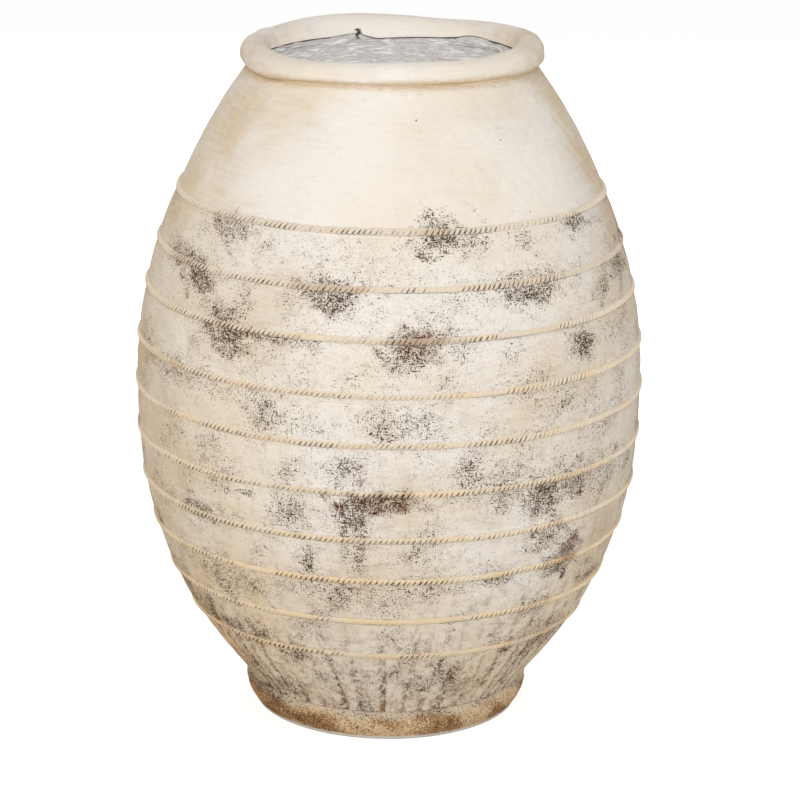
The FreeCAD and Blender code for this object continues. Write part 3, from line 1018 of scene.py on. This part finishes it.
def tear_at(azimuth, height):
    """How torn the clay under the lip is: a ragged crack that narrows towards its lower end."""
    down = np.clip((LIP_LEVEL + TEAR_RISE - height) / (TEAR_RISE + TEAR_DROP), 0, 1)
    middle = TEAR_AZIMUTH + TEAR_WANDER * np.sin(height / TEAR_BEND)
    half_turn = TEAR_HALF_TURN * (1.5 - 1.2 * down)
    return np.clip(1.5 - np.abs(azimuth - middle) / half_turn, 0, 1) * (down > 0)


print("The tear narrows over", round((TEAR_RISE + TEAR_DROP) / MILLIMETRE, 1), "mm of height")

# %% Draw the rim's section
ROLL_RADIUS = 15.4 * MILLIMETRE
CREASE_OUT = 1.6 * MILLIMETRE
SKIRT_RISE = 10 * MILLIMETRE
SKIRT_SINKS = 0.5 * MILLIMETRE
SKIRT_BURIED = 1.6 * MILLIMETRE
SKIRT_ROWS, UNDER_ROLL_ROWS, ROLL_ROWS = 7, 12, 34
# The roll's underside starts this far below its middle, and is a little fuller than a circle
UNDER_ROLL_TURN = math.radians(78)
UNDER_ROLL_POWER = 0.8
LIP_THICK = 0.9 * MILLIMETRE
LIP_DROP = 0.7 * MILLIMETRE
UNDERCUT = 1.6 * MILLIMETRE
UNDERCUT_RISE = 1.2 * MILLIMETRE
# Millimetres under the lip at which the strip of inner wall that belongs to the rim has its rows
BAND_DROPS = (0.6, 1.4, 2.2, 3.2, 4.5, 6.5, 9.0)
BAND_PROUD = 0.5 * MILLIMETRE
BAND_BURIED = 1.5 * MILLIMETRE
rim_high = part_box("rim_roll")[1]
roll_middle = rim_high.x - ROLL_RADIUS
roll_height = rim_high.z - max(RIM_WAVE.values()) * MILLIMETRE - ROLL_RADIUS
inner_neck = float(inner_wall(neck))

skirt_rows = np.linspace(CREASE_LEVEL - SKIRT_RISE, CREASE_LEVEL, SKIRT_ROWS)
skirt_shares = (skirt_rows - skirt_rows[0]) / SKIRT_RISE
rim_outline = [(float(outer_wall(skirt_rows[0])) - SKIRT_BURIED, skirt_rows[0])]
rim_outline += [
    (float(outer_wall(row)) - SKIRT_SINKS * (1 - share) + CREASE_OUT * share ** 1.5, row)
    for row, share in zip(skirt_rows, skirt_shares)
]
crease_radius = rim_outline[-1][0]
end_share = math.cos(UNDER_ROLL_TURN) ** UNDER_ROLL_POWER
for turn in np.linspace(UNDER_ROLL_TURN, 0, UNDER_ROLL_ROWS)[1:]:
    out_share = math.cos(turn) ** UNDER_ROLL_POWER
    down_share = math.sin(turn) / math.sin(UNDER_ROLL_TURN)
    out = crease_radius + (rim_high.x - crease_radius) * (out_share - end_share) / (1 - end_share)
    rim_outline.append((out, roll_height - (roll_height - CREASE_LEVEL) * down_share))
lip_turn = math.pi + math.asin((roll_height - LIP_LEVEL) / ROLL_RADIUS)
rim_outline += [
    (roll_middle + ROLL_RADIUS * math.cos(turn), roll_height + ROLL_RADIUS * math.sin(turn))
    for turn in np.linspace(0, lip_turn, ROLL_ROWS)[1:]
]
lip_radius = rim_outline[-1][0]
rim_outline += [(lip_radius + LIP_THICK, LIP_LEVEL - LIP_DROP)]
rim_outline += [(inner_neck + UNDERCUT, LIP_LEVEL + UNDERCUT_RISE)]
band_rows = LIP_LEVEL - np.array(BAND_DROPS) * MILLIMETRE
rim_outline += [(float(inner_wall(row)) - BAND_PROUD, row) for row in band_rows]
rim_outline += [(inner_neck + BAND_BURIED, band_rows[-1])]
print("The rim's outline has", len(rim_outline), "points")

# %% Move the rim's points as hands did
BAND_REST = 9 * MILLIMETRE
PATS = 0.45 * MILLIMETRE
FOLDS = 0.4 * MILLIMETRE
SKIRT_FOLDS = 0.2 * MILLIMETRE
TEAR_DEPTH = 2.2 * MILLIMETRE


def shape_rim(azimuth, radius, height):
    """Raises and lowers the roll, its crease and its lip, and pats it by hand."""
    inner_side = radius < roll_middle
    top_share = between(height, CREASE_LEVEL, roll_height + 0.5 * ROLL_RADIUS)
    rise = round_the_jar(RIM_WAVE, azimuth) * top_share
    below = (1 - top_share) * np.clip((height - LIP_LEVEL + BAND_REST) / BAND_REST, 0, 1)
    rise += np.where(inner_side, round_the_jar(LIP_RISE, azimuth, 1.5) * below, 0)
    rise += np.where(inner_side, 0, round_the_jar(CREASE_RISE, azimuth) * (1 - top_share))
    moved_height = height + rise
    on_skirt = ~inner_side & (height <= CREASE_LEVEL)
    skirt_radius = outer_wall(np.minimum(moved_height, neck)) + radius - outer_wall(height)
    pats = waves(azimuth, height, seed=31, turns=(5, 34), rises=(3, 40), count=18)
    folds = waves(azimuth, height, seed=32, turns=(3, 14), rises=(60, 120), count=8) * (1 - top_share)
    pushed = radius + PATS * pats * top_share + FOLDS * folds * ~inner_side
    pushed = np.where(on_skirt, skirt_radius + SKIRT_FOLDS * folds, pushed)
    pushed = pushed + TEAR_DEPTH * tear_at(azimuth, height) * inner_side
    moved_radius = pushed + hand_push(azimuth, height)
    return azimuth, np.minimum(moved_radius, rim_high.x), np.minimum(moved_height, rim_high.z)


print("The tear is cut", TEAR_DEPTH / MILLIMETRE, "mm deep")

# %% Build the rim roll
# Millimetres: the painted shade of the gap under the lip, at least and by how much more, then how softly it
# ends
LIP_SHADE_LEAST, LIP_SHADE_MORE, LIP_SHADE_SOFT = 0.5, 1.3, 0.8
RIM_PALE, RIM_SIDE_SHADE_TAN = 0.99, 0.22
BAND_TOP = LIP_LEVEL - 0.4 * MILLIMETRE
BEHIND_LIP, BEHIND_LIP_SHADE = lip_radius + 0.2 * MILLIMETRE, lip_radius + 0.4 * MILLIMETRE
LIP_SHADE_TOP = LIP_LEVEL + 2 * MILLIMETRE

rim, azimuth, radius, height = piece_from(turned_mesh(rim_outline, COLUMNS), "rim_roll_clay", shape_rim)
inner_side = radius < roll_middle
inner_band = inner_side & (height < BAND_TOP) & (radius > BEHIND_LIP)
# Painted shade: a band of varying height just under the lip, and the tear, are stored as the gap that the
# material darkens
lip_shade_width = between(waves(azimuth, 0, seed=33, turns=(4, 30), rises=(0, 1), count=14), -1.4, 1.0)
lip_shade_low = LIP_LEVEL - (LIP_SHADE_LEAST + LIP_SHADE_MORE * lip_shade_width) * MILLIMETRE
under_lip = inner_side & (radius > BEHIND_LIP_SHADE) & (height < LIP_SHADE_TOP)
gap = under_lip * between(height, lip_shade_low - LIP_SHADE_SOFT * MILLIMETRE, lip_shade_low)
torn = tear_at(azimuth, height) * inner_side
crease = np.where(inner_side, 0, np.exp(-(((height - CREASE_LEVEL) / CREASE_REACH) ** 2)))
# Painted side shade on the rim: less cream towards its sides than at its front and back
cream = RIM_PALE - RIM_SIDE_SHADE_TAN * (1 - np.cos(2 * (azimuth - SIDE_SHADE_AXIS)))
rim_values = {
    "stain": 0 * height, "brown": 0 * height, "pale": cream, "woven": 0 * height, "drag": 0 * height,
    "crease": crease, "gap": np.maximum(gap, torn), "inside": inner_band * 1.0,
}
for name, value in rim_values.items():
    keep_values(rim, name, value)
thread_map(rim, azimuth, height)
hand_in(rim, "rim_roll", washed_clay)

# %% [markdown]
# ## The foot
#
# The slab carries the wall, which flares out to meet its edge, so the joint hardly shows. The edge was
# rounded by hand and got the stain. Wash came down over its upper part, and another pale line lies at the
# ground, where it ran down and dried.

# %% Make the material of the foot
FOOT_TAN = tone(228, 204, 166)
FOOT_BROWN = tone(182, 144, 102)
FOOT_RUST = tone(140, 92, 52)
FOOT_DARK = tone(62, 42, 28)
FOOT_LIP = tone(222, 218, 212)
FOOT_WASH = tone(217, 204, 185)
FOOT_GRAIN = 0.8 * MILLIMETRE


def foot_material():
    """Brown speckled clay, washed along its top, with a pale line at the ground."""
    material, start = start_material("foot_clay")
    place = start.node("ShaderNodeTexCoord", output="Object")
    lip, dark, wash = [
        start.node("ShaderNodeAttribute", {"attribute_name": name}, output="Fac")
        for name in ("lip", "dark", "wash")
    ]
    mottle = grain(scaled(place, 1, 1, 1.5), 55, 3, 0.65)
    speck = grain(scaled(place, 1, 1, 1.25), 540, 2, 0.7)
    grit = grain(scaled(place, 1, 1, 1.2), 400, 2, 0.7)
    colour = blend_colours(step_between(grit + dark * 0.2, 0.46, 0.66), FOOT_TAN, FOOT_BROWN)
    rust_share = step_between(grit + (mottle - 0.5) * 0.4 + dark * 0.08, 0.58, 0.68) * 0.7
    colour = blend_colours(rust_share, colour, FOOT_RUST)
    washed = step_between(wash + (grit - 0.5) * 1.6 + (speck - 0.5) * 1.4, 0.3, 0.8)
    colour = blend_colours(washed * 0.8, colour, FOOT_WASH)
    dirty = speck + (mottle - 0.5) * 0.22 + dark * 0.08 + washed * 0.01
    colour = blend_colours(step_between(dirty, 0.585, 0.65) * 0.88, colour, FOOT_DARK)
    colour = blend_colours(step_between(lip + (grit - 0.5) * 0.8, 0.35, 0.65), colour, FOOT_LIP)
    height = speck * 0.7 + mottle * 0.6 + grit * 0.6
    finish_material(start, colour, 0.85 + mottle * 0.1, height, FOOT_GRAIN, DULL)
    return material


foot_clay = foot_material()
print(len(foot_clay.node_tree.nodes), "nodes in", foot_clay.name)

# %% Draw the slab's section
# The edge's outline: shares of the slab's thickness, and millimetres outside the ring that it stands on
EDGE_LOW = ((0.0, 0.0), (0.06, 1.2), (0.16, 3.5))
# The same higher up, in millimetres inside the slab's widest place
EDGE_HIGH = ((0.35, 4.0), (0.55, 1.0), (0.72, 0.0), (0.86, 0.3), (0.95, 1.0), (1.0, 2.1))
TOP_SHORT = 2.4 * MILLIMETRE
MIDDLE_DISC = 20 * MILLIMETRE
HOLLOW_ROWS_FROM = 110 * MILLIMETRE
TOP_ROWS, EDGE_ROWS, RING_ROWS = 40, 22, 12

slab_radii = ring_radii("base_slab", 0)
slab_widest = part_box("base_slab")[1].x
slab_heights = np.array([corner.co.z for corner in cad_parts["base_slab"].data.vertices])
hollow_depth = float(slab_heights[slab_heights > SAME_HEIGHT].min())
edge_heights = [share * slab_top for share, _ in EDGE_LOW + EDGE_HIGH]
edge_radii = [slab_radii[1] + out * MILLIMETRE for _, out in EDGE_LOW]
edge_radii += [slab_widest - short * MILLIMETRE for _, short in EDGE_HIGH]
edge_curve = smooth_curve(edge_heights, edge_radii)
top_rows = np.linspace(MIDDLE_DISC, slab_widest - TOP_SHORT, TOP_ROWS)
slab_outline = [(0, slab_top)] + [(radius, slab_top) for radius in top_rows]
slab_outline += [(float(edge_curve(height)), height) for height in np.linspace(slab_top, 0, EDGE_ROWS)]
slab_outline += [(radius, 0) for radius in np.linspace(slab_radii[1], slab_radii[0], RING_ROWS)[1:]]
slab_outline += [(slab_radii[0], hollow_depth)]
slab_outline += [(radius, hollow_depth) for radius in np.linspace(HOLLOW_ROWS_FROM, MIDDLE_DISC, RING_ROWS)]
slab_outline += [(0, hollow_depth)]
print("The hollow under the slab is", round(hollow_depth / MILLIMETRE, 1), "mm deep")

# %% Build the base slab
EDGE_FADE = 4 * MILLIMETRE
GROUND_FROM, GROUND_TO = 1 * MILLIMETRE, 6 * MILLIMETRE
TOP_FADE = 1 * MILLIMETRE
FLOOR_FROM, FLOOR_TO = 115 * MILLIMETRE, 130 * MILLIMETRE
EDGE_DENTS = 0.5 * MILLIMETRE
FLOOR_DABS = 0.7 * MILLIMETRE
LINE_RISE = 4.2 * MILLIMETRE
LEFT_DARKER = 0.7
# Shares of the slab's thickness: down to where the wash came, how that tilts and wanders, its softness
WASH_DOWN_TO, WASH_TILT, WASH_WANDER = 0.88, 0.08, 0.04
WASH_SOFT_BELOW, WASH_SOFT_ABOVE = 0.3, 0.25


def shape_slab(azimuth, radius, height):
    """Pats the slab's edge and its floor inside the jar. The ring that it stands on stays flat."""
    at_edge = between(radius, slab_radii[1] - EDGE_FADE, slab_radii[1])
    at_edge = at_edge * between(height, GROUND_FROM, GROUND_TO)
    pats = waves(azimuth, height, seed=51, turns=(4, 40), rises=(5, 60), count=18)
    dabs = waves(azimuth, radius, seed=52, turns=(2, 14), rises=(10, 50), count=16)
    on_floor = between(height, slab_top - TOP_FADE, slab_top)
    on_floor = on_floor * (1 - between(radius, FLOOR_FROM, FLOOR_TO))
    share = height / slab_top
    grooves = DRAG_GROOVES * drag_marks(azimuth, height) * between(share, 0.3, 0.95)
    dents = EDGE_DENTS * np.abs(pats) * (1 - between(share, 0.85, 1))
    pushed = hand_push(azimuth, height) * between(share, 0.4, 0.95)
    moved_radius = radius + at_edge * (pushed - dents - grooves)
    return azimuth, moved_radius, height + on_floor * FLOOR_DABS * np.minimum(dabs, 0)


slab, azimuth, radius, height = piece_from(turned_mesh(slab_outline, COLUMNS), "base_slab_clay", shape_slab)
keep_values(slab, "lip", 1 - between(height, LINE_RISE * 0.6, LINE_RISE * 1.4))
slab_dark = between(waves(azimuth, height, 53, (2, 16), (5, 30), 14), -0.8, 1.2)
keep_values(slab, "dark", slab_dark + LEFT_DARKER * bare_patch(azimuth))
wash_line = WASH_DOWN_TO - WASH_TILT * np.cos(azimuth - FRONT)
wash_line = wash_line + WASH_WANDER * waves(azimuth, 0, 54, (3, 24), (0, 1), 14)
washed = between(height / slab_top, wash_line - WASH_SOFT_BELOW, wash_line + WASH_SOFT_ABOVE)
keep_values(slab, "wash", washed)
hand_in(slab, "base_slab", foot_clay)

# %% [markdown]
# ## Floor and light
#
# The photograph is a studio shot on white. Here the floor looks white to the camera, but sends less light up
# than such a floor would, because the real jar was lit from above and in front. A white sky gives the soft
# light from all round. Large lamps stand in front, behind and above, two smaller warm ones at the sides give
# the edges their yellow, and one small lamp inside lights the back of the mouth.

# %% Make the floor, the sky and the lamps
FLOOR_HALF = 12.0
SKY_LIGHT = 0.40
FLOOR_GLOW = 0.58
MATT = 0.9
floor_mesh = bmesh.new()
bmesh.ops.create_grid(floor_mesh, x_segments=2, y_segments=2, size=FLOOR_HALF)
floor_data = bpy.data.meshes.new("studio_floor")
floor_mesh.to_mesh(floor_data)
floor_mesh.free()
floor = bpy.data.objects.new("studio_floor", floor_data)
bpy.context.scene.collection.objects.link(floor)
floor_material, start = start_material("studio_white")
seen = start.node("ShaderNodeLightPath", output="Is Camera Ray")
white_glow = {
    "Base Color": tone(250, 250, 250), "Roughness": MATT,
    "Emission Color": (1, 1, 1, 1), "Emission Strength": FLOOR_GLOW,
}
bright = start.node("ShaderNodeBsdfPrincipled", None, white_glow)
plain = start.node("ShaderNodeBsdfPrincipled", None, {"Base Color": tone(236, 232, 226), "Roughness": MATT})
both = start.node("ShaderNodeMixShader", None, {0: seen, 1: plain, 2: bright})
start.node("ShaderNodeOutputMaterial", None, {"Surface": both})
floor_data.materials.append(floor_material)

world = bpy.data.worlds.new("studio_sky")
world.use_nodes = True
world.node_tree.nodes.clear()
sky = Shade(world.node_tree)
seen = sky.node("ShaderNodeLightPath", output="Is Camera Ray")
light = SKY_LIGHT + seen * (1.0 - SKY_LIGHT)
background = sky.node("ShaderNodeBackground", None, {"Color": (1, 1, 1, 1), "Strength": light})
sky.node("ShaderNodeOutputWorld", None, {"Surface": background})
bpy.context.scene.world = world
bpy.context.scene.view_settings.view_transform = "Standard"

JAR_MIDDLE = Vector((0, 0, 0.4))


def soft_lamp(name, place, power, width, colour=(1, 1, 1)):
    """A large square lamp that looks at the jar's middle."""
    data = bpy.data.lights.new(name, "AREA")
    data.energy = power
    data.color = colour
    data.size = width
    lamp = bpy.data.objects.new(name, data)
    lamp.location = place
    lamp.rotation_euler = (JAR_MIDDLE - Vector(place)).to_track_quat("-Z", "Y").to_euler()
    bpy.context.scene.collection.objects.link(lamp)


WARM_LIGHT = (1.0, 0.86, 0.66)
COOL_LIGHT = (0.96, 0.97, 1.0)
INNER_POWER = 1.35
INNER_SOFT = 0.05
INNER_PLACE = (0, 0, 0.42)
soft_lamp("front_lamp", (0.1, -3.6, 1.7), 52, 1.4)
soft_lamp("back_lamp", (-0.2, 3.6, 1.9), 36, 1.6)
soft_lamp("top_lamp", (0.0, -1.4, 2.9), 12, 1.2)
soft_lamp("left_lamp", (-3.0, -0.9, 1.3), 15, 1.6, WARM_LIGHT)
soft_lamp("right_lamp", (3.0, -0.9, 1.3), 9, 1.6, WARM_LIGHT)

inner_data = bpy.data.lights.new("inner_lamp", "POINT")
inner_data.energy = INNER_POWER
inner_data.color = COOL_LIGHT
inner_data.shadow_soft_size = INNER_SOFT
inner_lamp = bpy.data.objects.new("inner_lamp", inner_data)
inner_lamp.location = INNER_PLACE
inner_lamp.visible_camera = False
bpy.context.scene.collection.objects.link(inner_lamp)
print(len(bpy.data.lights), "lamps light the jar")

# %% Update the scene and finish
bpy.context.view_layer.update()
